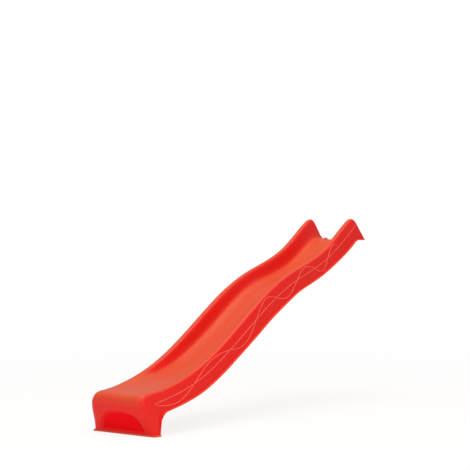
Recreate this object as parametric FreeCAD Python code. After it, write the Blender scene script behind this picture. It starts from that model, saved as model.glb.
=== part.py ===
"""Wave slide for a play tower: a one-piece moulded chute and the fixings of its top lip.

Millimetres.  +X points to the slide's left side as a rider sees it going down, +Y points to the tower
and +Z points up.  The origin is on the ground under the middle of the chute.
Distances along the run are counted from the tower's face, forwards and down the slide.
"""
import FreeCAD, Part
import math
import os

from FreeCAD import Vector

# ---- driving dimensions -------------------------------------------------------------------------------
nose_reach = 2585.0        # from the tower's face to the front of the nose
lip_back = 100.0           # from the tower's face back to the end of the top lip
lip_top_height = 1250.0    # sliding surface at the top lip
foot_height = 267.0        # sliding surface where it turns over the nose
horn_rise = 167.0          # rims above the bed at the top, where they are highest
wall = 6.0                 # wall of the moulding

bed_half = 140.0           # half width of the bed, to the start of its corners
corner_width = 25.0        # from there to the rim's inner edge
rim_width = 48.0
rim_crown = 1.5            # of the rim's middle over its inner shoulder
skirt_top_out = 4.0        # where the rim's outer bend ends, out from the rim's edge
skirt_top_drop = 26.0      # and down from its inner shoulder
skirt_flare = 30.0         # how far a skirt's lower edge stands out from the rim
flange_width = 17.0
flange_thick = 6.0
bed_sag = 8.0              # how much lower the bed is in the middle, where it is full
skirt_reach = 130.0        # of the skirts below the bed at the foot, where they are deepest

horn_radius = 28.0         # rounding of the rims' top ends
horn_extension = 20.0      # how far the rims would still climb behind the tower's face if not trimmed
horn_tip = 2.0             # corner of the trim above the rims, before it is rounded
horn_end_drop = 0.30       # front end of the rounding, under that corner, as a share of its radius
horn_bow_slant = 0.32      # middle of the rounding, as shares of its radius: down the slant,
horn_bow_front = 0.26      # forwards
horn_bow_drop = 0.06       # and down

pad_drop = 2.0             # how far the flat pad under the lip stands below the lip's own underside
pad_side = 24.0            # from the pad's side to the bed's
pad_front = 8.0            # how far the pad comes forward of the tower's face

nose_radius = 62.0
front_lean = 72.0          # how far the front face leans back, from the nose to the ground
foot_length = 130.0        # from the nose's front back to the foot's rear edge on the ground
foot_flare = 13.0          # how far the foot stands out from the skirts at the ground
foot_corner_radius = 45.0  # of the foot's front corners, seen from above
foot_start = 205.0         # from the front back to where the foot's own shape begins
foot_rise = 12.0           # of the bed over the nose's height where the foot begins
foot_rim = 3.0             # of the rim over the bed there
foot_sag_share = 0.3
foot_past = 40.0           # how far past the front the foot's top would still fall if not trimmed
foot_past_fall = 8.4       # how far it would have fallen there
corner_clear_side = 6.0    # how far the plan that rounds the front corners stands off the foot's sides
corner_clear_front = 3.0   # and off its front
heel_lean = 13.0           # how far the foot's rear edge leans back at its top
heel_turn = 52.0           # height of the bend from the skirt's edge to that edge
heel_bow_back = 0.29       # middle of that bend: share of its height back from the edge
heel_bow_up = 0.66         # and up from the edge
base_overhang = 7.0        # how far the base plate stands out in front
base_side = 10.0           # and beside the foot
base_thick = 12.0
base_corner_radius = 20.0

recess_side = 66.0         # from the arched recess to the foot's side
recess_head = 48.0         # from its top to the nose's bend
recess_depth = 12.0

rib_thick = 5.0
rib_depth = 26.0
rib_rows = (3, 5, 7, 9, 11, 13)    # cross-sections with a rib under them, counted from the tower's face

screw_spacing = 140.0      # between the two top screws
screw_back = 32.0          # from the tower's face back to the screws
screw_shank = 8.0
screw_length = 60.0        # under the head
screw_across_flats = 13.0
screw_head = 5.3
screw_plain = 14.0         # full shank under the head
screw_thread = 7.0         # mean diameter of the threaded stretch below it
screw_tip = 0.6            # radius of the cut-off point
screw_hole_play = 1.0      # of the hole in the lip over the screw's shank, in diameter
washer_outer = 22.0
washer_thick = 1.6
washer_play = 2.5          # round the washer in its cup
cap_floor = 1.5
cap_rim = 5.0
cap_skin = 1.6
cap_head_play = 3.0        # over the screw's head, under the lid
seat_rise = 1.5            # of the flat round seats that the caps stand on, over the lip
seat_margin = 3.0          # of a seat round its cap
piece_gap = 0.3            # between a lid and its cup

anchor_side = 91.0         # from the ground anchor holes to the foot's sides
anchor_hole = 11.0
anchor_from_front = 99.0   # from there to the nose's front

# ---- the wave -----------------------------------------------------------------------------------------
# share of the run, share of the bed's fall still above the foot, share of the horns' rise that the rim
# stands over the bed, share of the skirts' reach below the bed, share of the bed's sag
WAVE = (
    (0.0155, 0.9953, 0.952, 0.09, 0.1),
    (0.0387, 0.9746, 0.880, 0.26, 0.4),
    (0.0967, 0.8800, 0.826, 0.19, 0.9),
    (0.1547, 0.7955, 0.772, 0.12, 1.0),
    (0.2128, 0.7396, 0.713, 0.20, 1.0),
    (0.2708, 0.6989, 0.653, 0.30, 1.0),
    (0.3288, 0.6633, 0.581, 0.42, 1.0),
    (0.3868, 0.6012, 0.605, 0.515, 1.0),
    (0.4642, 0.4853, 0.701, 0.454, 1.0),
    (0.5415, 0.3520, 0.754, 0.385, 1.0),
    (0.6190, 0.2340, 0.677, 0.40, 1.0),
    (0.6963, 0.1343, 0.545, 0.515, 0.9),
    (0.7737, 0.0773, 0.299, 0.79, 0.7),
    (0.8510, 0.0417, 0.096, 0.96, 0.5),
)

# ---- the section ----------------------------------------------------------------------------------------
# bed: share of its half width, share of the rise, share of the sag
BED = ((0.0, 0.0, 1.0), (0.50, 0.0, 0.62), (0.84, 0.015, 0.0), (1.0, 0.10, 0.0))
# corner between bed and rim: share of its width, share of the rise
CORNER = ((0.36, 0.30), (0.66, 0.62), (1.0, 0.91))
# rim: share of its width, height over its inner shoulder
RIM = ((0.23, 0.0), (0.50, rim_crown), (0.81, -2.0), (1.0, -10.0))
skirt_middle_share = 0.45  # height of the middle of the skirt's flank between its foot and the rim

# ---- places worked out from the sizes -------------------------------------------------------------------
half_length = (nose_reach + lip_back) / 2
middle_run = half_length - lip_back
fall = lip_top_height - foot_height
foot_run = nose_reach - foot_start
heel_run = nose_reach - foot_length
foot_skirt_low = foot_height + foot_rise - skirt_reach
heel_height = foot_skirt_low - heel_turn
rim_inner_half = bed_half + corner_width
rim_half = rim_inner_half + rim_width
skirt_half = rim_half + skirt_flare
flange_half = skirt_half + flange_width
foot_half = skirt_half + foot_flare
base_half = foot_half + base_side
nose_height = foot_height + rim_crown - nose_radius
lean_slope = front_lean / nose_height
horn_height = lip_top_height + horn_rise
lip_underside = lip_top_height - wall
pad_underside = lip_underside - pad_drop
below_ground = -60.0       # how far blocks run past the ground before they are trimmed
cutter_past = 60.0         # how far cutters start outside what they cut
drill_past = 20.0
clear_above = foot_height + 350.0    # over everything at the foot
clear_half = base_half + 20.0        # beside everything
arc_middle = math.sqrt(0.5)      # of a quarter turn, along each axis

cap_seat = lip_top_height + seat_rise
washer_seat = cap_seat + cap_floor
head_seat = washer_seat + washer_thick
cup_inner = washer_outer / 2 + washer_play
cup_outer = cup_inner + cap_skin
lid_inner = cup_outer + piece_gap
lid_outer = lid_inner + cap_skin
lid_top = head_seat + screw_head + cap_head_play + cap_skin
hole_radius = (screw_shank + screw_hole_play) / 2


def y_at(run):
    """Row coordinate of a place along the run."""
    return middle_run - run


def stations():
    """Every cross-section of the run: place, height of the bed, rise of the rim over it, reach of the
    skirts below it, and share of the bed's sag."""
    rows = []
    for share in (1.0, 0.5, 0.0):
        rise = horn_rise + horn_extension * share
        rows.append((-lip_back * share, lip_top_height, rise, wall, 0.0))
    for run_share, fall_share, rim_share, skirt_share, sag_share in WAVE:
        bed = foot_height + fall_share * fall
        skirts = skirt_share * skirt_reach
        rows.append((run_share * nose_reach, bed, rim_share * horn_rise, skirts, sag_share))
    rows.append((foot_run, foot_height + foot_rise, foot_rim, skirt_reach, foot_sag_share))
    return rows


def half_skin(bed, rise, reach, sag_share):
    """Top skin of one half, from the middle of the bed over the rim to the foot of the skirt."""
    rim = bed + rise
    sag = bed_sag * sag_share
    low = bed - reach + flange_thick
    skirt_top = rim_half + skirt_top_out
    points = [(share * bed_half, bed + up * rise - down * sag) for share, up, down in BED]
    points += [(bed_half + share * corner_width, bed + up * rise) for share, up in CORNER]
    points += [(rim_inner_half + share * rim_width, rim + height) for share, height in RIM]
    middle = skirt_middle_share * (rim - flange_thick) + (1 - skirt_middle_share) * low
    points.append((skirt_top, rim - skirt_top_drop))
    points.append(((skirt_top + skirt_half) / 2, middle))
    points.append((skirt_half, low))
    return points


def inset(points, amount):
    """Move a half skin to its inner side by an amount, square to the skin."""
    moved = []
    last = len(points) - 1
    for index, (x, z) in enumerate(points):
        before = points[max(index - 1, 0)]
        after = points[min(index + 1, last)]
        run_x = after[0] - before[0]
        run_z = after[1] - before[1]
        length = math.hypot(run_x, run_z)
        moved.append((x + amount * run_z / length, z - amount * run_x / length))
    moved[0] = (0.0, points[0][1] - amount)
    moved[last] = (points[last][0] - amount, points[last][1])
    return moved


def whole(points):
    """Both halves of a skin, from the right skirt to the left."""
    mirrored = [(-x, z) for x, z in reversed(points[1:])]
    return mirrored + list(points)


def skin_edge(points, run):
    """One smooth edge through the points of a skin, with the same knots at every place."""
    places = [Vector(x, y_at(run), z) for x, z in points]
    curve = Part.BSplineCurve()
    count = len(places) - 1
    curve.interpolate(Points=places, Parameters=[index / count for index in range(count + 1)])
    return curve.toShape()


def closed_wire(skins, run, corners):
    """A skin edge, straight edges through the corners, and back to the skin's first end."""
    places = [skins.valueAt(skins.LastParameter)]
    places += [Vector(x, y_at(run), z) for x, z in corners]
    places.append(skins.valueAt(skins.FirstParameter))
    edges = [skins]
    for start, end in zip(places[:-1], places[1:]):
        edges.append(Part.makeLine(start, end))
    return Part.Wire(edges)


def run_section(run, bed, rise, reach, sag_share):
    """Closed cross-section of the thin wall, with a flange along the foot of each skirt."""
    skin = half_skin(bed, rise, reach, sag_share)
    under = inset(skin, wall)
    top_edge = skin_edge(whole(skin), run)
    under_edge = skin_edge(whole(under), run)
    flange_low = bed - reach
    flange_top = flange_low + flange_thick
    inner = skirt_half - wall
    left = [(flange_half, flange_top), (flange_half, flange_low), (inner, flange_low)]
    places = [Vector(x, y_at(run), z) for x, z in left]
    places.insert(0, top_edge.valueAt(top_edge.LastParameter))
    places.append(under_edge.valueAt(under_edge.LastParameter))
    edges = [top_edge]
    for start, end in zip(places[:-1], places[1:]):
        edges.append(Part.makeLine(start, end))
    edges.append(under_edge)
    mirror = [Vector(-place.x, place.y, place.z) for place in reversed(places)]
    for start, end in zip(mirror[:-1], mirror[1:]):
        edges.append(Part.makeLine(start, end))
    return Part.Wire(Part.__sortEdges__(edges))


def deep_section(run, bed, rise, sag_share, amount):
    """Closed cross-section of the foot's block: the skin, then sides that go on below the ground."""
    skin = inset(half_skin(bed, rise, skirt_reach, sag_share), amount)
    edge = skin_edge(whole(skin), run)
    side = foot_half - amount
    corners = [(side, 0.0), (side, below_ground), (-side, below_ground), (-side, 0.0)]
    return closed_wire(edge, run, corners)


def side_prism(places, arcs, half_width):
    """A closed side outline of (run, height) places, extruded both ways from the middle.

    arcs gives, for the index of a place, a point that the stretch after it passes through.
    """
    edges = []
    points = [Vector(-half_width, y_at(run), height) for run, height in places]
    for index, start in enumerate(points):
        end = points[(index + 1) % len(points)]
        if index in arcs:
            run, height = arcs[index]
            through = Vector(-half_width, y_at(run), height)
            edges.append(Part.Arc(start, through, end).toShape())
        else:
            edges.append(Part.makeLine(start, end))
    face = Part.Face(Part.Wire(edges))
    return face.extrude(Vector(2 * half_width, 0, 0))


def foot_block(amount):
    """The foot as a solid block, every wall moved in by an amount."""
    reach = nose_reach - amount
    radius = nose_radius - amount
    centre_run = nose_reach - nose_radius
    rows = (
        (foot_run, foot_height + foot_rise, foot_rim, foot_sag_share),
        (centre_run, foot_height, foot_rim / 3, foot_sag_share / 2),
        (nose_reach + foot_past, foot_height - foot_past_fall, foot_rim / 6, 0.0),
    )
    block = Part.makeLoft([deep_section(*row, amount) for row in rows], True, False)
    lean = lean_slope * (nose_height - below_ground)
    outline = [
        (foot_run, clear_above),
        (centre_run, clear_above),
        (centre_run, nose_height + radius),
        (reach, nose_height),
        (reach - lean, below_ground),
        (foot_run, below_ground),
    ]
    nose_middle = (centre_run + radius * arc_middle, nose_height + radius * arc_middle)
    block = block.common(side_prism(outline, {2: nose_middle}, clear_half))
    if amount == 0:
        block = block.common(heel_prism())
    plan_side = foot_half + corner_clear_side - amount
    plan = (reach + corner_clear_front, plan_side, foot_corner_radius - amount)
    low = 2 * below_ground
    corners = plan_prism(*plan, low, nose_height, lean_slope)
    corners = corners.fuse(plan_prism(*plan, nose_height, clear_above, 0.0))
    block = block.common(corners)
    return block.cut(arch(foot_half - recess_side + amount, nose_height - recess_head + amount,
                          recess_depth + amount))


def heel_middle(shift_run, shift_height):
    """A place halfway round the bend from the skirts' edge to the heel."""
    run = heel_run - heel_lean - heel_bow_back * heel_turn + shift_run
    return (run, heel_height + heel_bow_up * heel_turn + shift_height)


def heel_prism():
    """Everything in front of the heel and above the ground: it trims the foot's rear edge."""
    places = [
        (nose_reach + cutter_past, 0.0),
        (heel_run, 0.0),
        (heel_run - heel_lean, heel_height),
        (foot_run, foot_skirt_low),
        (foot_run, clear_above),
        (nose_reach + cutter_past, clear_above),
    ]
    return side_prism(places, {2: heel_middle(0.0, 0.0)}, clear_half)


def plan_prism(reach, half_width, radius, low, high, slope):
    """A prism with the foot's plan, square behind and with round front corners, from one height to another.

    The reach is at the upper height; the prism leans back from there by a slope.
    """
    lean = slope * (high - low)
    reach = reach - lean
    back = foot_run - cutter_past - lean
    turn = radius * (1 - arc_middle)
    start = Vector(-half_width, y_at(back), low)
    left = Vector(-half_width, y_at(reach - radius), low)
    left_turn = Vector(-half_width + turn, y_at(reach - turn), low)
    front_left = Vector(-half_width + radius, y_at(reach), low)
    front_right = Vector(half_width - radius, y_at(reach), low)
    right_turn = Vector(half_width - turn, y_at(reach - turn), low)
    right = Vector(half_width, y_at(reach - radius), low)
    end = Vector(half_width, y_at(back), low)
    edges = [
        Part.makeLine(start, left),
        Part.Arc(left, left_turn, front_left).toShape(),
        Part.makeLine(front_left, front_right),
        Part.Arc(front_right, right_turn, right).toShape(),
        Part.makeLine(right, end),
        Part.makeLine(end, start),
    ]
    return Part.Face(Part.Wire(edges)).extrude(Vector(0, -lean, high - low))


def arch(half_width, height, depth):
    """The cutter of the arched recess, from in front of the foot back to a depth behind its leaning front."""
    centre = Vector(0, y_at(nose_reach + cutter_past), 0)
    ellipse = Part.Ellipse(centre, half_width, height)
    ellipse.Axis = Vector(0, -1, 0)
    ellipse.XAxis = Vector(1, 0, 0)
    bar = Part.Face(Part.Wire(ellipse.toShape())).extrude(Vector(0, foot_start + cutter_past, 0))
    low = 2 * below_ground
    high = 2 * nose_height
    front = nose_reach + 2 * cutter_past
    places = [
        (front, low),
        (front, high),
        (nose_reach - depth + lean_slope * (high - nose_height), high),
        (nose_reach - depth - lean_slope * (nose_height - low), low),
    ]
    return bar.common(side_prism(places, {}, clear_half))


def base_plate():
    """The flange round the foot on the ground, with a floor inside that takes the ground anchors."""
    reach = nose_reach - front_lean + base_overhang
    block = plan_prism(reach, base_half, base_corner_radius, 0.0, base_thick, 0.0)
    slab = Part.makeBox(2 * base_half, reach - heel_run, base_thick)
    slab.translate(Vector(-base_half, y_at(reach), 0))
    return block.common(slab)


def heel_lips():
    """The skirts' flanges go on round the heel and down to the ground."""
    thick = flange_thick
    places = [
        (foot_run, foot_skirt_low),
        (heel_run - heel_lean, heel_height),
        (heel_run, 0.0),
        (heel_run + thick, 0.0),
        (heel_run - heel_lean + thick, heel_height + thick / 2),
        (foot_run, foot_skirt_low + thick),
    ]
    arcs = {0: heel_middle(0.0, 0.0), 4: heel_middle(thick / 2, thick)}
    prism = side_prism(places, arcs, flange_half)
    inner = skirt_half - wall
    core = Part.makeBox(2 * inner, 2 * foot_start, clear_above - below_ground)
    core.translate(Vector(-inner, y_at(nose_reach + cutter_past), below_ground))
    return prism.cut(core)


def horn_trim():
    """Cutter behind the slide: it gives the rims' top ends their slant and their round tips."""
    back = y_at(-lip_back - cutter_past)
    top = horn_height + 2 * cutter_past
    tip = Vector(0, y_at(0.0), horn_height + horn_tip)
    low = Vector(0, y_at(-lip_back), lip_top_height)
    slope = (tip - low).normalize()
    start = tip - slope * horn_radius
    end = tip + Vector(0, -horn_radius, -horn_end_drop * horn_radius)
    bow = Vector(0, -horn_bow_front, -horn_bow_drop)
    bulge = tip + (bow - slope * horn_bow_slant) * horn_radius
    places = [end, Vector(0, end.y, top), Vector(0, back, top), Vector(0, back, low.z), low, start]
    edges = [Part.Arc(start, bulge, end).toShape()]
    for near, far in zip(places[:-1], places[1:]):
        edges.append(Part.makeLine(near, far))
    face = Part.Face(Part.Wire(edges))
    face.translate(Vector(-clear_half, 0, 0))
    return face.extrude(Vector(2 * clear_half, 0, 0))


def rib(run, bed, rise, reach, sag_share):
    """One cross rib under the bed at a row of the wave, rooted in the middle of the wall."""
    skin = inset(half_skin(bed, rise, reach, sag_share), wall / 2)
    upper = [place for place in skin if place[0] <= bed_half]
    low = upper[0][1] - rib_depth
    side = upper[-1][0]
    outline = [(-side, low)] + whole(upper) + [(side, low)]
    places = [Vector(x, y_at(run) - rib_thick / 2, z) for x, z in outline]
    places.append(places[0])
    return Part.Face(Part.makePolygon(places)).extrude(Vector(0, rib_thick, 0))


def lip_pad():
    """The flat pad under the top lip that rests on the tower's rail."""
    half = bed_half - pad_side
    pad = Part.makeBox(2 * half, lip_back + pad_front, wall)
    pad.translate(Vector(-half, y_at(pad_front), pad_underside))
    return pad


def upright(radius, low, high, x, y):
    """A cylinder from one height to another."""
    return Part.makeCylinder(radius, high - low, Vector(x, y, low))


def screw_places():
    return [(side * screw_spacing / 2, y_at(-screw_back)) for side in (-1, 1)]


def screw_seat(x, y):
    """Flat round seat for a screw's cap, through the lip down to the pad."""
    return upright(lid_outer + seat_margin, pad_underside, cap_seat, x, y)


def chute():
    rows = stations()
    body = Part.makeLoft([run_section(*row) for row in rows], True, False)
    foot = foot_block(0.0).cut(foot_block(wall))
    body = body.cut(horn_trim())
    ahead = [row for row in rows if row[0] >= 0]
    ribs = [rib(*ahead[index]) for index in rib_rows]
    seats = [screw_seat(x, y) for x, y in screw_places()]
    body = body.fuse([foot, base_plate(), heel_lips(), lip_pad()] + seats + ribs)
    for x, y in screw_places():
        body = body.cut(upright(hole_radius, pad_underside - drill_past, cap_seat + drill_past, x, y))
    for side in (-1, 1):
        x = side * (foot_half - anchor_side)
        y = y_at(nose_reach - anchor_from_front)
        body = body.cut(upright(anchor_hole / 2, -drill_past, base_thick + drill_past, x, y))
    return body.removeSplitter()


def hexagon(across_flats, low, height, x, y):
    radius = across_flats / math.sqrt(3)
    places = []
    for corner in range(7):
        angle = math.radians(60 * corner)
        places.append(Vector(x + radius * math.cos(angle), y + radius * math.sin(angle), low))
    return Part.Face(Part.makePolygon(places)).extrude(Vector(0, 0, height))


def top_screw(x, y):
    """Hexagon wood screw; its shank runs down through the lip, ready for the rail."""
    tip = head_seat - screw_length
    thread_top = head_seat - screw_plain
    thread_low = tip + screw_shank
    pieces = [
        Part.makeCone(screw_tip, screw_thread / 2, screw_shank, Vector(x, y, tip)),
        upright(screw_thread / 2, thread_low, thread_top, x, y),
        hexagon(screw_across_flats, head_seat, screw_head, x, y),
    ]
    return upright(screw_shank / 2, thread_top, head_seat, x, y).fuse(pieces).removeSplitter()


def top_washer(x, y):
    ring = upright(washer_outer / 2, washer_seat, head_seat, x, y)
    return ring.cut(upright(hole_radius, washer_seat - drill_past, head_seat + drill_past, x, y))


def cap_base(x, y):
    """Plastic cup under the screw's head; its rim holds the lid."""
    cup = upright(cup_outer, cap_seat, cap_seat + cap_rim, x, y)
    cup = cup.cut(upright(cup_inner, washer_seat, cap_seat + cap_rim + drill_past, x, y))
    return cup.cut(upright(hole_radius, cap_seat - drill_past, washer_seat + drill_past, x, y))


def dome(radius, low, edge, top, x, y):
    """A round body with straight sides up to its edge and a crown from there to its top."""
    rise = top - edge
    ball = (radius * radius + rise * rise) / (2 * rise)
    crown = Part.makeSphere(ball, Vector(x, y, top - ball))
    crown = crown.common(upright(radius, edge, top + drill_past, x, y))
    return upright(radius, low, edge, x, y).fuse(crown).removeSplitter()


def cap_lid(x, y):
    """Domed snap-on lid."""
    edge = cap_seat + cap_rim
    outer = dome(lid_outer, cap_seat, edge, lid_top, x, y)
    return outer.cut(dome(lid_inner, cap_seat - drill_past, edge, lid_top - cap_skin, x, y))


def save(node, shapes):
    shape = shapes[0] if len(shapes) == 1 else Part.makeCompound(shapes)
    shape.exportStep("parts/" + node + ".step")
    print(node, len(shape.Solids), "solid(s), valid", shape.isValid(), "volume", round(shape.Volume))


os.makedirs("parts", exist_ok=True)
save("chute", [chute()])
for node, maker in (
    ("top_screws", top_screw),
    ("top_washers", top_washer),
    ("cap_bases", cap_base),
    ("cap_lids", cap_lid),
):
    save(node, [maker(x, y) for x, y in screw_places()])
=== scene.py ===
"""Wave slide for a play tower: the visual model, in metres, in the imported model's frame."""
import math

import bmesh
import bpy
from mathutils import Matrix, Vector
from mathutils.bvhtree import BVHTree


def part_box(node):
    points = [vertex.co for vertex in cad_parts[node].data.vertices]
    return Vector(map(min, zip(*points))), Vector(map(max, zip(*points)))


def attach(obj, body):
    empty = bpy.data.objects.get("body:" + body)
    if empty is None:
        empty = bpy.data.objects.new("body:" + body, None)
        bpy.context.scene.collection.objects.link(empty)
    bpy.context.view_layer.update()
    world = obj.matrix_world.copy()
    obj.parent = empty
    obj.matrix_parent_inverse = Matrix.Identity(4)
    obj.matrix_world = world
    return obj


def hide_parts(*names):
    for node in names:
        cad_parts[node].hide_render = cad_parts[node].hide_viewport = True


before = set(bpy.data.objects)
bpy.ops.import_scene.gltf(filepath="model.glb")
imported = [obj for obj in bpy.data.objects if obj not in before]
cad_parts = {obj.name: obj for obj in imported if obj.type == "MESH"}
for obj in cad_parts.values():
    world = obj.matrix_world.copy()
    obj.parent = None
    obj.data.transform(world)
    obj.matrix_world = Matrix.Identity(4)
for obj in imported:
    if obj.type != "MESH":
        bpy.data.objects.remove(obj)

scene = bpy.context.scene
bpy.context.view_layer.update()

# ---- camera, floor and light ---------------------------------------------------------------------------
# A level camera far off the slide's foot, on its left; a pale floor; a large soft lamp overhead, a weaker
# one from the front, and an even world.
scene.view_settings.view_transform = "Standard"
camera = bpy.data.cameras.new("camera")
camera.sensor_width = 36.0
camera.lens = 99.4
camera.shift_y = 0.0106
camera.clip_end = 200.0
camera_object = bpy.data.objects.new("camera", camera)
scene.collection.objects.link(camera_object)
camera_object.location = (5.475, -7.5775, 1.245)
camera_object.rotation_euler = (math.radians(90.0), 0.0, math.radians(36.06))
scene.camera = camera_object


def srgb(code):
    """A colour from its six-figure code."""
    values = [int(code[place:place + 2], 16) / 255 for place in (0, 2, 4)]
    linear = [v / 12.92 if v <= 0.04045 else ((v + 0.055) / 1.055) ** 2.4 for v in values]
    return (*linear, 1.0)


def add(tree, kind, inputs=None, **settings):
    """One shader node; an input is a value or another node's output."""
    node = tree.nodes.new(kind)
    for name, value in settings.items():
        setattr(node, name, value)
    for name, value in (inputs or {}).items():
        if isinstance(value, bpy.types.NodeSocket):
            tree.links.new(value, node.inputs[name])
        else:
            node.inputs[name].default_value = value
    return node


def material(name):
    """An empty material, its tree and its output."""
    made = bpy.data.materials.new(name)
    made.use_nodes = True
    made.node_tree.nodes.clear()
    return made, made.node_tree, made.node_tree.nodes.new("ShaderNodeOutputMaterial")


world = bpy.data.worlds.new("studio")
scene.world = world
world.use_nodes = True
world.node_tree.nodes.clear()
path = add(world.node_tree, "ShaderNodeLightPath")
soft = add(world.node_tree, "ShaderNodeBackground", {"Color": srgb("f8f8fa"), "Strength": 0.50})
white = add(world.node_tree, "ShaderNodeBackground", {"Color": (1.0, 1.0, 1.0, 1.0), "Strength": 1.0})
seen = add(world.node_tree, "ShaderNodeMixShader",
           {0: path.outputs["Is Camera Ray"], 1: soft.outputs[0], 2: white.outputs[0]})
sky = world.node_tree.nodes.new("ShaderNodeOutputWorld")
world.node_tree.links.new(seen.outputs[0], sky.inputs["Surface"])

# name, place, point it faces, size in metres, power in watts, tint
for name, place, aim, size, power, tint in (
    ("overhead", (0.5, -0.9, 8.2), (0.0, 0.0, 0.4), 6.5, 450.0, "fff4e6"),
    ("front", (4.4, -5.4, 2.6), (0.0, 0.0, 0.6), 3.4, 125.0, "fff6ec"),
):
    lamp = bpy.data.lights.new(name, "AREA")
    lamp.shape = "SQUARE"
    lamp.size = size
    lamp.energy = power
    lamp.color = srgb(tint)[:3]
    lamp_object = bpy.data.objects.new(name, lamp)
    lamp_object.location = place
    lamp_object.rotation_euler = (Vector(aim) - Vector(place)).to_track_quat("-Z", "Y").to_euler()
    scene.collection.objects.link(lamp_object)

# the floor is matt and pale, and away from the slide it fades to white, for the camera alone
floor_material, tree, output = material("floor_pale_matt")
coordinates = add(tree, "ShaderNodeTexCoord")
grain = add(tree, "ShaderNodeTexNoise",
            {"Vector": coordinates.outputs["Object"], "Scale": 0.8, "Detail": 3.0})
pale = add(tree, "ShaderNodeMixRGB",
           {"Fac": grain.outputs["Fac"], "Color1": srgb("fafafa"), "Color2": srgb("fdfdfd")})
matt = add(tree, "ShaderNodeBsdfDiffuse", {"Color": pale.outputs[0]})
glow = add(tree, "ShaderNodeEmission", {"Color": (1.0, 1.0, 1.0, 1.0), "Strength": 1.0})
path = add(tree, "ShaderNodeLightPath")
distance = add(tree, "ShaderNodeVectorMath", {0: coordinates.outputs["Object"]}, operation="LENGTH")
fade = add(tree, "ShaderNodeMapRange",
           {"Value": distance.outputs["Value"], "From Min": 1.5, "From Max": 6.0,
            "To Min": 0.84, "To Max": 1.0})
lift = add(tree, "ShaderNodeMath",
           {0: path.outputs["Is Camera Ray"], 1: fade.outputs[0]}, operation="MULTIPLY")
mixed = add(tree, "ShaderNodeMixShader", {0: lift.outputs[0], 1: matt.outputs[0], 2: glow.outputs[0]})
tree.links.new(mixed.outputs[0], output.inputs["Surface"])
FLOOR_DROP = 0.0005
mesh = bpy.data.meshes.new("floor")
bm = bmesh.new()
bmesh.ops.create_grid(bm, x_segments=8, y_segments=8, size=30.0)
bmesh.ops.translate(bm, verts=bm.verts, vec=(0.0, 0.0, -FLOOR_DROP))
bm.to_mesh(mesh)
bm.free()
mesh.materials.append(floor_material)
floor = bpy.data.objects.new("floor", mesh)
scene.collection.objects.link(floor)

# ---- chute: the moulded shell --------------------------------------------------------------------------
# The bed with its rims and flared skirts, from the top lip over two waves to the foot on the ground.
# Red high-density polyethylene, moulded in one piece with a wall of 6 mm and a satin skin.
# It is one sheet of cross-sections, with a wall added on its inner side.
# sizes are in mm, but for the arched recess's
LIP_TOP = 1250.0
FOOT_TOP = 267.0
HORN_RISE = 167.0
REACH = 130.0
SAG = 8.0
WALL = 6.0
MIDDLE_RUN = 1242.5
NOSE_REACH = 2585.0
FOOT_RUN = 2380.0
HORN_SPAN = 60.0
HORN_ROWS = 7
RUN_STEPS = 44
BED_HALF = 140.0
RIM_INNER = 165.0
RIM_OUTER = 213.0
SKIRT_HALF = 243.0
FLANGE_HALF = 260.0
BED_FLAT = 0.84
RIM_CROWN = 1.5
RIM_DROP = 2.0
RIM_EDGE_DROP = 10.0
SKIRT_TOP_OUT = 4.0
SKIRT_TOP_DROP = 26.0
SKIRT_MIDDLE = 0.45
FLANGE_BEND = 9.0
# run share, share of the bed's fall, of the rims' rise, of the skirts' reach and of the bed's sag
WAVE = (
    (0.0, 1.0, 1.0, 0.046, 0.0),
    (0.0155, 0.9953, 0.952, 0.09, 0.1),
    (0.0387, 0.9746, 0.880, 0.26, 0.4),
    (0.0967, 0.8800, 0.826, 0.19, 0.9),
    (0.1547, 0.7955, 0.772, 0.12, 1.0),
    (0.2128, 0.7396, 0.713, 0.20, 1.0),
    (0.2708, 0.6989, 0.653, 0.30, 1.0),
    (0.3288, 0.6633, 0.581, 0.42, 1.0),
    (0.3868, 0.6012, 0.605, 0.515, 1.0),
    (0.4642, 0.4853, 0.701, 0.454, 1.0),
    (0.5415, 0.3520, 0.754, 0.385, 1.0),
    (0.6190, 0.2340, 0.677, 0.40, 1.0),
    (0.6963, 0.1343, 0.545, 0.515, 0.9),
    (0.7737, 0.0773, 0.299, 0.79, 0.7),
    (0.8510, 0.0417, 0.096, 0.96, 0.5),
    (0.9207, 0.0122, 0.018, 1.0, 0.3),
)


def wave(run):
    """Bed height, rise of the rim, reach of the skirts and sag at a place along the run, in mm."""
    share = min(max(run / NOSE_REACH, 0.0), WAVE[-1][0])
    last = max(index for index in range(len(WAVE) - 1) if WAVE[index][0] <= share)
    rows = [WAVE[min(max(last + step, 0), len(WAVE) - 1)] for step in (-1, 0, 1, 2)]
    span = rows[2][0] - rows[1][0]
    t = (share - rows[1][0]) / span
    values = []
    for column in (1, 2, 3, 4):
        slope = []
        for before, here, after in ((rows[0], rows[1], rows[2]), (rows[1], rows[2], rows[3])):
            width = after[0] - before[0]
            slope.append(span * (after[column] - before[column]) / width)
        a = rows[1][column]
        b = rows[2][column]
        curve = 3 * (b - a) - 2 * slope[0] - slope[1]
        values.append(a + t * (slope[0] + t * (curve + t * (2 * (a - b) + slope[0] + slope[1]))))
    fall, rise, reach, sag = values
    return FOOT_TOP + fall * (LIP_TOP - FOOT_TOP), rise * HORN_RISE, reach * REACH, sag * SAG


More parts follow.
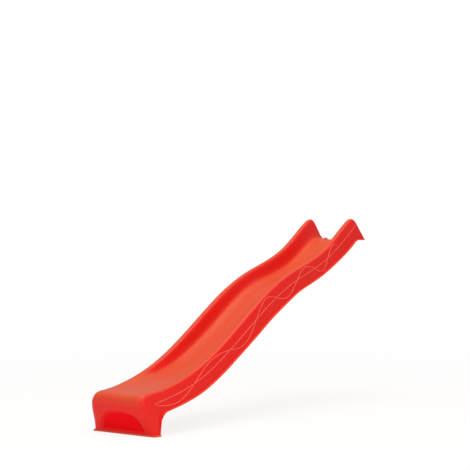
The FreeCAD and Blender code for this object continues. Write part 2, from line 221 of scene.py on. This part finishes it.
def section(bed, rise, reach, sag):
    """Half of a cross-section, from the middle of the bed to the flange's edge, in mm."""
    rim = bed + rise
    low = bed - reach + WALL
    corner = RIM_INNER - BED_HALF
    width = RIM_OUTER - RIM_INNER
    middle = SKIRT_MIDDLE * (rim - WALL) + (1 - SKIRT_MIDDLE) * low
    top = RIM_OUTER + SKIRT_TOP_OUT
    halfway = (top + SKIRT_HALF) / 2
    near = FLANGE_BEND / max(middle - low, 2 * FLANGE_BEND)
    return [
        (0.0, bed - sag),
        (0.50 * BED_HALF, bed - 0.62 * sag),
        (BED_FLAT * BED_HALF, bed + 0.015 * rise),
        (BED_HALF, bed + 0.10 * rise),
        (BED_HALF + 0.36 * corner, bed + 0.30 * rise),
        (BED_HALF + 0.66 * corner, bed + 0.62 * rise),
        (RIM_INNER, bed + 0.91 * rise),
        (RIM_INNER + 0.23 * width, rim),
        (RIM_INNER + 0.50 * width, rim + RIM_CROWN),
        (RIM_OUTER - 0.19 * width, rim - RIM_DROP),
        (RIM_OUTER, rim - RIM_EDGE_DROP),
        (top, rim - SKIRT_TOP_DROP),
        (halfway, middle),
        (SKIRT_HALF - near * (SKIRT_HALF - halfway), low + near * (middle - low)),
        (SKIRT_HALF, low),
        (SKIRT_HALF + 5.0, low),
        (FLANGE_HALF, low),
    ]


LIP_BACK = 100.0
TIP_RUN = -12.2
TIP_CENTRE = (11.9, 133.1)
TIP_RADIUS = 28.0
TIP_END = 24.0
FLANGE_LEFT = 1.2
COLUMN_STEP = 0.6
SKIRT_TOP = 11
SKIRT_LOW = 14


def horn_row(share):
    """A cross-section of the slanted top end: its points as (x, run, z); share 0 is the end itself."""
    tip = TIP_RUN + (HORN_SPAN - TIP_RUN) * share
    bed, rise, reach, sag = wave(tip)
    if tip - TIP_CENTRE[0] < TIP_RADIUS:
        over = TIP_RADIUS ** 2 - (tip - TIP_CENTRE[0]) ** 2
        crown = LIP_TOP + TIP_CENTRE[1] + math.sqrt(max(over, 0.0)) - bed
        rise = min(rise, crown) if tip < TIP_END else rise
    flat = section(0.0, rise, 0.0, 0.0)
    places = []
    for index, (x, z) in enumerate(flat):
        up = min(max(z / rise, 0.0), 1.0)
        end = -LIP_BACK + (LIP_BACK + TIP_RUN) * up
        run = end + (HORN_SPAN - end) * share
        bed, _, reach, sag = wave(run)
        here = section(bed, rise, reach, sag)[index]
        flare = 0.0
        if index >= SKIRT_TOP:
            end_half = RIM_OUTER + (FLANGE_HALF - FLANGE_LEFT - RIM_OUTER) * (1 - up)
            end_half += COLUMN_STEP * max(index - SKIRT_LOW, 0)
            flare = (end_half - here[0]) * (1 - share) ** 2
        places.append((here[0] + flare, run, here[1]))
    return places


FLANK_KNEE = 149.0
FOOT_FLARE = 13.0
FLANK_TOP = 253.0
FLANK_LEAN = 26.0


def side_at(z):
    """Half width of the foot's flanks at a height: they flare below the knee and lean in above it."""
    if z < FLANK_KNEE:
        return SKIRT_HALF + FOOT_FLARE * (FLANK_KNEE - z) / FLANK_KNEE
    return SKIRT_HALF - FLANK_LEAN * (z - FLANK_KNEE) / (FLANK_TOP - FLANK_KNEE)


# rows of the foot: run and height at the middle, run and height at the heel, share of the way from the
# slide's own section to the foot's rounded box
FOOT = (
    (2420.0, 275.2, 2393.0, 146.0, 0.06),
    (2470.0, 271.5, 2404.0, 140.0, 0.22),
    (2531.0, 268.6, 2415.0, 131.0, 0.45),
    (2554.0, 265.0, 2424.0, 122.0, 0.66),
    (2572.5, 253.5, 2432.0, 112.0, 0.84),
    (2583.6, 234.5, 2438.0, 104.0, 0.95),
    (2586.6, 209.0, 2442.0, 97.0, 1.0),
    (2576.5, 180.0, 2443.5, 88.0, 1.0),
    (2567.0, 154.0, 2445.0, 76.0, 1.0),
    (2556.0, 122.0, 2447.0, 62.0, 1.0),
    (2544.0, 88.0, 2449.0, 48.0, 1.0),
    (2531.0, 52.0, 2451.0, 35.0, 1.0),
    (2521.0, 24.0, 2453.0, 22.0, 1.0),
    (2517.2, 12.0, 2454.0, 12.0, 1.0),
    (2518.2, 11.9, 2455.0, 11.9, 1.0),
    (2520.0, 11.8, 2455.0, 11.8, 1.0),
    (2520.0, 0.3, 2455.0, 0.3, 1.0),
)
CORNER_RADIUS = 45.0
BASE_RADIUS = 20.0
BASE_HALF = 266.0
# rows below BASE_TOP belong to the base's edge, and those below BASE_EDGE turn with a smaller radius
BASE_TOP = 11.95
BASE_EDGE = 11.85
BASE_EDGE_RUN = 2519.0
# places of the front's columns, of which FRONT_SPAN would reach the corner's arc
FRONT_COLUMNS = (0.0, 45.0, 90.0, 130.0, 165.0, 198.0)
FRONT_SPAN = 200.0
ARC_STEPS = 6
HEEL_STRIP = 0.1
# the slide's own section where the foot takes over: height of its bed, rise, sag and depth of its skirt
OWN_BED = 279.0
OWN_RISE = 3.0
OWN_SAG = 2.4
OWN_DEPTH = 124.0


def foot_row(run, height, heel_run, heel_height, share):
    """A cross-section of the foot, in a plane that leans forward round the heel."""
    length = math.hypot(run - heel_run, height - heel_height)
    end = length - WALL
    own = section(OWN_BED, OWN_RISE, REACH, OWN_SAG)
    outward = 0.0 if height > BASE_TOP else (0.4 if run < BASE_EDGE_RUN else 1.0)
    radius = min(CORNER_RADIUS if height > BASE_EDGE else BASE_RADIUS, 0.5 * end)
    turn = 90.0 / ARC_STEPS
    depths = [0.0 for _ in FRONT_COLUMNS]
    depths += [radius * (1 - math.cos(math.radians(turn * step))) for step in range(1, ARC_STEPS + 1)]
    depths += [(radius + end) / 2, end - WALL, end, end, end]
    front = len(FRONT_COLUMNS)
    places = []
    for index, depth in enumerate(depths):
        at = heel_height + (height - heel_height) * (1 - depth / length)
        side = side_at(max(at, 0.0))
        side += (BASE_HALF - side) * outward
        if index < front:
            x = FRONT_COLUMNS[index] * (side - radius) / FRONT_SPAN
        elif index < front + ARC_STEPS:
            x = side - radius * (1 - math.sin(math.radians(turn * (index - front + 1))))
        elif index == len(depths) - 2:
            x = side + max(FLANGE_HALF - side, HEEL_STRIP) * 0.35
        elif index == len(depths) - 1:
            x = max(FLANGE_HALF, side + HEEL_STRIP)
        else:
            x = side
        own_x, own_z = own[index]
        own_depth = (OWN_BED - own_z) * end / OWN_DEPTH
        x = own_x + (x - own_x) * share
        depth = own_depth + (depth - own_depth) * share
        places.append((
            x,
            run + (heel_run - run) * depth / length,
            height + (heel_height - height) * depth / length,
        ))
    return places


rows = [horn_row(step / HORN_ROWS) for step in range(HORN_ROWS)]
for step in range(RUN_STEPS + 1):
    run = HORN_SPAN + (FOOT_RUN - HORN_SPAN) * step / RUN_STEPS
    rows.append([(x, run, z) for x, z in section(*wave(run))])
rows += [foot_row(*row) for row in FOOT]
half = len(rows[0]) - 1
last = len(rows) - 1
bm = bmesh.new()
bmesh.ops.create_grid(bm, x_segments=2 * half, y_segments=last, size=1.0)
# the share of wear and painted sheen is kept on the shell: on the bed its paler red is partly wear and partly
# painted sheen from the top light, full on the bed, wider where the rims are low, and gone on the foot;
# the rims' tops, the flanges and the base's edge get the same paler red as a painted highlight
SHEEN_WEAR_HALF = 158.0
SHEEN_WEAR_SPREAD = 62.0
SHEEN_WEAR_FADE = 40.0
SHEEN_WEAR_LOW = 192.0
SHEEN_WEAR_SPAN = 62.0
LOW_RISE = 50
RIM_COLUMNS = (7, 8, 9)
wear_and_sheen = bm.verts.layers.float.new("wear_and_sheen")
for vertex in bm.verts:
    column = round((vertex.co.x + 1) * half) - half
    row = round((vertex.co.y + 1) * last / 2)
    x, run, z = rows[row][abs(column)]
    side = -1 if column < 0 else 1
    on_run = row <= RUN_STEPS + HORN_ROWS
    # on the bed the paler red is partly wear and partly painted sheen from the top light
    spread = SHEEN_WEAR_SPREAD * max(1 - wave(min(run, FOOT_RUN))[1] / LOW_RISE, 0.0)
    bed_wear_and_sheen = min(max((SHEEN_WEAR_HALF + spread - x) / SHEEN_WEAR_FADE, 0.0), 1.0)
    fade = min(max((z - SHEEN_WEAR_LOW) / SHEEN_WEAR_SPAN, 0.0), 1.0)
    # painted highlights: the rims' crowns, the flanges and the base's edge are given the paler red that
    # stands for the top light they catch
    edge_highlight = 0.75 if abs(column) in RIM_COLUMNS and on_run else 0.0
    if row >= last - 2:
        edge_highlight = 1.0
    elif abs(column) > SKIRT_LOW and on_run:
        edge_highlight = 0.6
    vertex[wear_and_sheen] = max(bed_wear_and_sheen * bed_wear_and_sheen * (3 - 2 * bed_wear_and_sheen) * fade, edge_highlight)
    vertex.co = (side * x / 1000, (MIDDLE_RUN - run) / 1000, z / 1000)
bmesh.ops.recalc_face_normals(bm, faces=bm.faces)
bm.faces.ensure_lookup_table()
bed_face = min(bm.faces, key=lambda face: (face.calc_center_median() - Vector((0.02, 0.4, 0.96))).length)
if bed_face.normal.z < 0:
    bmesh.ops.reverse_faces(bm, faces=bm.faces)

# the arched recess in the foot's front: its edge is a squared ellipse, and its floor stands 12 mm back
# the ARCH sizes are in metres and the others in mm
ARCH_HALF = 0.190
ARCH_HEIGHT = 0.1585
ARCH_POWER = 2.4
ARCH_DEPTH = 0.012
ARCH_LOW = 0.0125
ARCH_SNAP_LOW = 0.02
FRONT_LEAN = 72.0
NOSE_HEIGHT = 206.5
FRONT_FROM_RUN = 2505.0


def front_at(x, z):
    """How far along Y the foot's front face lies at a width and a height."""
    run = NOSE_REACH - FRONT_LEAN * (NOSE_HEIGHT - 1000 * z) / NOSE_HEIGHT
    across = max(1000 * abs(x) - (side_at(1000 * z) - CORNER_RADIUS), 0.0)
    return (MIDDLE_RUN - run + CORNER_RADIUS - math.sqrt(max(CORNER_RADIUS ** 2 - across ** 2, 0.0))) / 1000


def arch_share(spot):
    """How far out a spot lies in the arch, which is squarer than an ellipse; 1 is its edge."""
    return (abs(spot.x / ARCH_HALF) ** ARCH_POWER + (spot.z / ARCH_HEIGHT) ** ARCH_POWER) ** (1 / ARCH_POWER)


inside = []
for face in bm.faces:
    centre = face.calc_center_median()
    ahead = centre.y < (MIDDLE_RUN - FRONT_FROM_RUN) / 1000
    if ahead and arch_share(centre) < 1.0 and centre.z > ARCH_LOW and face.normal.y < -0.5:
        inside.append(face)
chosen = set(inside)
for vertex in {v for face in inside for v in face.verts}:
    on_edge = any(face not in chosen for face in vertex.link_faces)
    if on_edge and vertex.co.z > ARCH_SNAP_LOW:
        share = arch_share(vertex.co)
        vertex.co.x /= share
        vertex.co.z /= share
        vertex.co.y = front_at(vertex.co.x, vertex.co.z)
for inset, depth in ((0.0035, 0.0), (0.007, -ARCH_DEPTH), (0.004, 0.0)):
    bmesh.ops.inset_region(bm, faces=inside, thickness=inset, depth=depth, use_even_offset=True)
for face in inside:
    face.material_index = 1

mesh = bpy.data.meshes.new("chute_shell")
bm.to_mesh(mesh)
bm.free()
mesh.shade_smooth()
chute = bpy.data.objects.new("chute_shell", mesh)
scene.collection.objects.link(chute)
wall = chute.modifiers.new("wall", "SOLIDIFY")
wall.thickness = WALL / 1000
wall.offset = -1.0
rounding = chute.modifiers.new("rounding", "SUBSURF")
rounding.levels = 2
rounding.render_levels = 2
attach(chute, "root")
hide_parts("chute")

# moulded polyethylene: an even red with a satin sheen and clouds of 0.3 m, and on the bed
# a paler, warmer red in streaks about 40 mm wide and 0.9 m long, partly wear and partly painted sheen from
# the top light; the same red paints highlights on the rims' tops, the flanges and the base's edge
# the orange peel repeats every 4 mm, coarser than a real skin's so that it shows
PEEL_PER_METRE = 260.0
red, tree, output = material("red_hdpe_moulded_satin")
place = add(tree, "ShaderNodeTexCoord").outputs["Object"]
wear_and_sheen_mask = add(tree, "ShaderNodeAttribute", attribute_name="wear_and_sheen").outputs["Fac"]
along = add(tree, "ShaderNodeMapping", {"Vector": place, "Scale": (26.0, 1.1, 1.1)})
streaks = add(tree, "ShaderNodeTexNoise",
              {"Vector": along.outputs[0], "Scale": 1.0, "Detail": 4.0, "Roughness": 0.55})
cloud = add(tree, "ShaderNodeTexNoise", {"Vector": place, "Scale": 3.0, "Detail": 3.0})
peel = add(tree, "ShaderNodeTexNoise",
           {"Vector": place, "Scale": PEEL_PER_METRE, "Detail": 3.0, "Roughness": 0.6})
streak_share = add(tree, "ShaderNodeMapRange",
               {"Value": streaks.outputs["Fac"], "From Min": 0.30, "From Max": 0.72,
                "To Min": 0.55, "To Max": 1.0})
# the mask's paler red is partly wear and partly painted sheen on the bed, and painted highlights on the rims,
# the flanges and the base's edge
sheen_highlight_and_wear = add(tree, "ShaderNodeMath", {0: wear_and_sheen_mask, 1: streak_share.outputs[0]}, operation="MULTIPLY")
skin = add(tree, "ShaderNodeMixRGB",
           {"Fac": cloud.outputs["Fac"], "Color1": srgb("e01710"), "Color2": srgb("e41e15")})
colour = add(tree, "ShaderNodeMixRGB",
             {"Fac": sheen_highlight_and_wear.outputs[0], "Color1": skin.outputs[0], "Color2": srgb("d65b35")})
rough = add(tree, "ShaderNodeMapRange",
            {"Value": streaks.outputs["Fac"], "From Min": 0.25, "From Max": 0.75,
             "To Min": 0.36, "To Max": 0.46})
bumps = add(tree, "ShaderNodeBump", {"Height": peel.outputs["Fac"], "Strength": 0.12, "Distance": 0.0003})
plastic = add(tree, "ShaderNodeBsdfPrincipled",
              {"Base Color": colour.outputs[0], "Roughness": rough.outputs[0], "Normal": bumps.outputs[0],
               "Specular IOR Level": 0.24})
tree.links.new(plastic.outputs[0], output.inputs["Surface"])
mesh.materials.append(red)

# the recess has a deeper, more saturated red, in clouds of 110 mm, which is painted shade for the recess, and
# a duller skin
recess_red, tree, output = material("red_hdpe_moulded_unworn")
place = add(tree, "ShaderNodeTexCoord").outputs["Object"]
cloud = add(tree, "ShaderNodeTexNoise", {"Vector": place, "Scale": 9.0, "Detail": 3.0})
deep = add(tree, "ShaderNodeMixRGB",
           {"Fac": cloud.outputs["Fac"], "Color1": srgb("e6000e"), "Color2": srgb("f00214")})
peel = add(tree, "ShaderNodeTexNoise",
           {"Vector": place, "Scale": PEEL_PER_METRE, "Detail": 3.0, "Roughness": 0.6})
bumps = add(tree, "ShaderNodeBump", {"Height": peel.outputs["Fac"], "Strength": 0.12, "Distance": 0.0003})
plastic = add(tree, "ShaderNodeBsdfPrincipled",
              {"Base Color": deep.outputs[0], "Roughness": 0.6, "Normal": bumps.outputs[0],
               "Specular IOR Level": 0.06})
tree.links.new(plastic.outputs[0], output.inputs["Surface"])
mesh.materials.append(recess_red)

# ---- chute: raised lines on the skirts -----------------------------------------------------------------
# Two slim beads on each outer flank: one keeps to the middle of the flank, and the other swings about it.
# They are moulded with the shell, about 2 mm proud.

# polyethylene in a paler red that paints the highlight on the raised lines, uneven over about 70 mm, with the
# shell's orange peel
bead_red, tree, output = material("red_hdpe_raised_line_painted_highlight")
place = add(tree, "ShaderNodeTexCoord").outputs["Object"]
grime = add(tree, "ShaderNodeTexNoise", {"Vector": place, "Scale": 14.0, "Detail": 3.0})
pale = add(tree, "ShaderNodeMixRGB",
           {"Fac": grime.outputs["Fac"], "Color1": srgb("ec4a3a"), "Color2": srgb("f4604e")})
fine = add(tree, "ShaderNodeTexNoise", {"Vector": place, "Scale": PEEL_PER_METRE, "Detail": 2.0})
bumps = add(tree, "ShaderNodeBump", {"Height": fine.outputs["Fac"], "Strength": 0.1, "Distance": 0.0002})
plastic = add(tree, "ShaderNodeBsdfPrincipled",
              {"Base Color": pale.outputs[0], "Roughness": 0.4, "Normal": bumps.outputs[0]})
tree.links.new(plastic.outputs[0], output.inputs["Surface"])
# runs at which the swinging bead crosses the middle of the flank, from the top to the foot, in mm as all
# runs are; the bead's radius and how far it is sunk are in metres
CROSSINGS = (240.0, 413.0, 588.0, 835.0, 1098.0, 1360.0, 1658.0, 2073.0, 2476.0)
BEAD_START = 258.0
BEAD_TOP = -6.0
BEAD_END = 2480.0
BEAD_STEPS = 130
BEAD_RADIUS = 0.0034
BEAD_SUNK = 0.0012
SWING = 0.37
HEEL_SLOPE = 0.35
bpy.context.view_layer.update()
surface = BVHTree.FromObject(chute, bpy.context.evaluated_depsgraph_get())


def flank(run, share, side):
    """A point just inside the outer flank's surface; share 0 is the flank's lower edge and 1 its rim."""
    bed, rise, reach, _ = wave(run)
    low = bed - reach + WALL
    if run > FOOT_RUN:
        low -= HEEL_SLOPE * (run - FOOT_RUN)
    z = low + share * (bed + rise - low)
    start = Vector((side * 0.4, (MIDDLE_RUN - run) / 1000, z / 1000))
    hit = surface.ray_cast(start, Vector((-side, 0.0, 0.0)))[0]
    return hit - Vector((side * BEAD_SUNK, 0.0, 0.0)) if hit else start


def steady(run):
    """Share of the flank's height at which the steady bead runs; it climbs a little at the top end."""
    return 0.52 + 0.14 * max(HORN_SPAN - run, 0.0) / (HORN_SPAN - BEAD_TOP)


def swing(run):
    """Share of the flank's height at which the swinging bead runs."""
    span = max(index for index in range(len(CROSSINGS) - 1) if CROSSINGS[index] <= run)
    start = CROSSINGS[span]
    phase = (run - start) / (CROSSINGS[span + 1] - start)
    upward = 1 if span % 2 == 0 else -1
    return 0.5 + SWING * upward * math.sin(math.pi * phase)


for side, hand in ((1, "left"), (-1, "right")):
    for name, first, course in (("steady", BEAD_TOP, steady), ("swinging", BEAD_START, swing)):
        curve = bpy.data.curves.new("bead", "CURVE")
        curve.dimensions = "3D"
        curve.bevel_depth = BEAD_RADIUS
        curve.bevel_resolution = 3
        spline = curve.splines.new("POLY")
        spline.points.add(BEAD_STEPS)
        for step, point in enumerate(spline.points):
            run = first + (BEAD_END - first) * step / BEAD_STEPS
            point.co = (*flank(run, course(run), side), 1.0)
        for step in range(3):
            spline.points[step].radius = 0.45 + 0.2 * step
            spline.points[BEAD_STEPS - step].radius = 0.45 + 0.2 * step
        holder = bpy.data.objects.new("holder", curve)
        scene.collection.objects.link(holder)
        bpy.context.view_layer.update()
        made = bpy.data.meshes.new_from_object(holder.evaluated_get(bpy.context.evaluated_depsgraph_get()))
        bpy.data.objects.remove(holder)
        bead = bpy.data.objects.new("chute_bead_" + name + "_" + hand, made)
        scene.collection.objects.link(bead)
        made.shade_smooth()
        made.materials.clear()
        made.materials.append(bead_red)
        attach(bead, "root")

# ---- chute: cross ribs, lip pad and screw seats ----------------------------------------------------------
# Six ribs of 5 mm stiffen the bed from below, and a flat pad under the lip lies on the tower's rail.
# Two round seats on the lip carry the screws' caps.  All are moulded with the shell.
# the ribs' sizes are in mm, and those of the pad, screws and seats in metres
RIB_RUNS = (250.0, 550.0, 850.0, 1200.0, 1600.0, 2000.0)
RIB_DEPTH = 26.0
RIB_THICK = 5.0
PAD_SIZE = (0.232, 0.106, WALL / 1000)
PAD_MIDDLE = (0.0, (MIDDLE_RUN + 45.0) / 1000, (LIP_TOP - 5.0) / 1000)
SCREW_HALF_SPACING = 0.070
SEAT_DEPTH = 0.0055


def finish_piece(bm, name, bevel):
    """A smooth bevelled object on the root body, in the shell's material, from a mesh in metres."""
    bmesh.ops.recalc_face_normals(bm, faces=bm.faces)
    data = bpy.data.meshes.new(name)
    bm.to_mesh(data)
    bm.free()
    data.shade_smooth()
    data.materials.append(red)
    piece = bpy.data.objects.new(name, data)
    scene.collection.objects.link(piece)
    edges = piece.modifiers.new("edges", "BEVEL")
    edges.width = bevel
    edges.segments = 3
    edges.limit_method = "ANGLE"
    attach(piece, "root")
    return piece


for number, run in enumerate(RIB_RUNS):
    bed, rise, reach, sag = wave(run)
    bm = bmesh.new()
    bmesh.ops.create_grid(bm, x_segments=12, y_segments=1, size=1.0)
    for vertex in bm.verts:
        x = vertex.co.x * (BED_HALF + 2.0)
        under = bed - sag * (1 - min(abs(x) / (BED_FLAT * BED_HALF), 1.0) ** 1.5) - WALL / 2
        if abs(x) > BED_FLAT * BED_HALF:
            under += 0.08 * rise * (abs(x) / BED_HALF - BED_FLAT) / (1 - BED_FLAT)
        z = under if vertex.co.y > 0 else bed - sag - WALL / 2 - RIB_DEPTH
        vertex.co = (x / 1000, (MIDDLE_RUN - run - RIB_THICK / 2) / 1000, z / 1000)
    made = bmesh.ops.extrude_face_region(bm, geom=bm.faces[:])
    moved = [item for item in made["geom"] if isinstance(item, bmesh.types.BMVert)]
    bmesh.ops.translate(bm, verts=moved, vec=(0.0, RIB_THICK / 1000, 0.0))
    finish_piece(bm, f"chute_rib_{number + 1}", 0.001)

bm = bmesh.new()
bmesh.ops.create_cube(bm, size=1.0)
bmesh.ops.scale(bm, verts=bm.verts, vec=PAD_SIZE)
bmesh.ops.translate(bm, verts=bm.verts, vec=PAD_MIDDLE)
finish_piece(bm, "chute_lip_pad", 0.002)

low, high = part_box("cap_bases")
for side, hand in ((1, "left"), (-1, "right")):
    bm = bmesh.new()
    bmesh.ops.create_cone(bm, cap_ends=True, segments=48, radius1=0.0215, radius2=0.0200, depth=SEAT_DEPTH)
    bmesh.ops.translate(
        bm, verts=bm.verts, vec=(side * SCREW_HALF_SPACING, (low.y + high.y) / 2, low.z - SEAT_DEPTH / 2))
    finish_piece(bm, "chute_screw_seat_" + hand, 0.0006)

# ---- chute: floor of the foot --------------------------------------------------------------------------
# A floor 11 mm thick closes the foot's hollow at the ground, with an 11 mm hole on each side for an anchor.
# It is moulded with the foot's walls and reaches into them.
# the floor's columns and rows and the anchors' run are in mm, and the rest in metres
COLUMN_PLACES = (-248.0, -215.0, -177.0, -153.0, -110.0, -70.0, -30.0, 0.0,
                 30.0, 70.0, 110.0, 153.0, 177.0, 215.0, 248.0)
ROW_RUNS = (2456.0, 2474.0, 2498.0, 2514.0)
FLOOR_TOP = 0.0115
FLOOR_THICK = 0.0113
ANCHOR_PLACE = (0.165, 2486.0)
ANCHOR_RADIUS = 0.0055
ANCHOR_REACH = 0.0125
bm = bmesh.new()
bmesh.ops.create_grid(bm, x_segments=14, y_segments=3, size=1.0)
for vertex in bm.verts:
    column = round((vertex.co.x + 1) * 7)
    row = round((vertex.co.y + 1) * 1.5)
    vertex.co = (COLUMN_PLACES[column] / 1000, (MIDDLE_RUN - ROW_RUNS[row]) / 1000, FLOOR_TOP)
for side in (1, -1):
    middle = Vector((side * ANCHOR_PLACE[0], (MIDDLE_RUN - ANCHOR_PLACE[1]) / 1000, FLOOR_TOP))
    square = min(bm.faces, key=lambda face: (face.calc_center_median() - middle).length)
    border = square.edges[:]
    bmesh.ops.delete(bm, geom=[square], context="FACES_ONLY")
    bmesh.ops.subdivide_edges(bm, edges=border, cuts=3)
    outer = [edge for edge in bm.edges if edge.is_boundary
             and all(max(abs(v.co.x - middle.x), abs(v.co.y - middle.y)) < ANCHOR_REACH for v in edge.verts)]
    circle = bmesh.ops.create_circle(bm, segments=16, radius=ANCHOR_RADIUS)["verts"]
    bmesh.ops.translate(bm, verts=circle, vec=middle)
    inner = list({edge for vertex in circle for edge in vertex.link_edges})
    bmesh.ops.bridge_loops(bm, edges=outer + inner)
made = bmesh.ops.extrude_face_region(bm, geom=bm.faces[:])
moved = [item for item in made["geom"] if isinstance(item, bmesh.types.BMVert)]
bmesh.ops.translate(bm, verts=moved, vec=(0.0, 0.0, -FLOOR_THICK))
finish_piece(bm, "chute_foot_floor", 0.0006)

# ---- screws, washers and caps ----------------------------------------------------------------------------
# Two zinc-plated hexagon wood screws with washers hold the lip, each in a plastic cup with a snap-on lid.
# The metal is turned and plated; the plastic is moulded with a fine grain.

# zinc plate: a dull grey sheen with blotches of about 5 mm, and turning rings drawn at 0.4 mm
zinc, tree, output = material("steel_zinc_plated_turned")
place = add(tree, "ShaderNodeTexCoord").outputs["Object"]
blotch = add(tree, "ShaderNodeTexNoise", {"Vector": place, "Scale": 180.0, "Detail": 4.0})
turned = add(tree, "ShaderNodeMapping", {"Vector": place, "Scale": (60.0, 60.0, 2600.0)})
rings = add(tree, "ShaderNodeTexNoise", {"Vector": turned.outputs[0], "Scale": 1.0, "Detail": 1.0})
tone = add(tree, "ShaderNodeMixRGB",
           {"Fac": blotch.outputs["Fac"], "Color1": srgb("b9bcc0"), "Color2": srgb("d6d8d6")})
dull = add(tree, "ShaderNodeMapRange",
           {"Value": blotch.outputs["Fac"], "From Min": 0.3, "From Max": 0.7, "To Min": 0.26, "To Max": 0.44})
bumps = add(tree, "ShaderNodeBump", {"Height": rings.outputs["Fac"], "Strength": 0.3, "Distance": 0.00015})
metal = add(tree, "ShaderNodeBsdfPrincipled",
            {"Base Color": tone.outputs[0], "Roughness": dull.outputs[0], "Normal": bumps.outputs[0],
             "Metallic": 1.0})
tree.links.new(metal.outputs[0], output.inputs["Surface"])

# moulded cap: a matt red near the lip's own, mottled over 11 mm, with a leather grain of about 0.7 mm
cap_plastic, tree, output = material("plastic_cap_moulded_grained")
place = add(tree, "ShaderNodeTexCoord").outputs["Object"]
mottle = add(tree, "ShaderNodeTexNoise", {"Vector": place, "Scale": 90.0, "Detail": 3.0})
leather = add(tree, "ShaderNodeTexVoronoi", {"Vector": place, "Scale": 1400.0})
tone = add(tree, "ShaderNodeMixRGB",
           {"Fac": mottle.outputs["Fac"], "Color1": srgb("d0402a"), "Color2": srgb("dc4c34")})
bumps = add(tree, "ShaderNodeBump",
            {"Height": leather.outputs["Distance"], "Strength": 0.25, "Distance": 0.0002})
plastic = add(tree, "ShaderNodeBsdfPrincipled",
              {"Base Color": tone.outputs[0], "Roughness": 0.48, "Normal": bumps.outputs[0]})
tree.links.new(plastic.outputs[0], output.inputs["Surface"])

for finish, nodes in ((zinc, ("top_screws", "top_washers")), (cap_plastic, ("cap_bases", "cap_lids"))):
    for node in nodes:
        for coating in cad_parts[node].material_slots:
            coating.material = finish
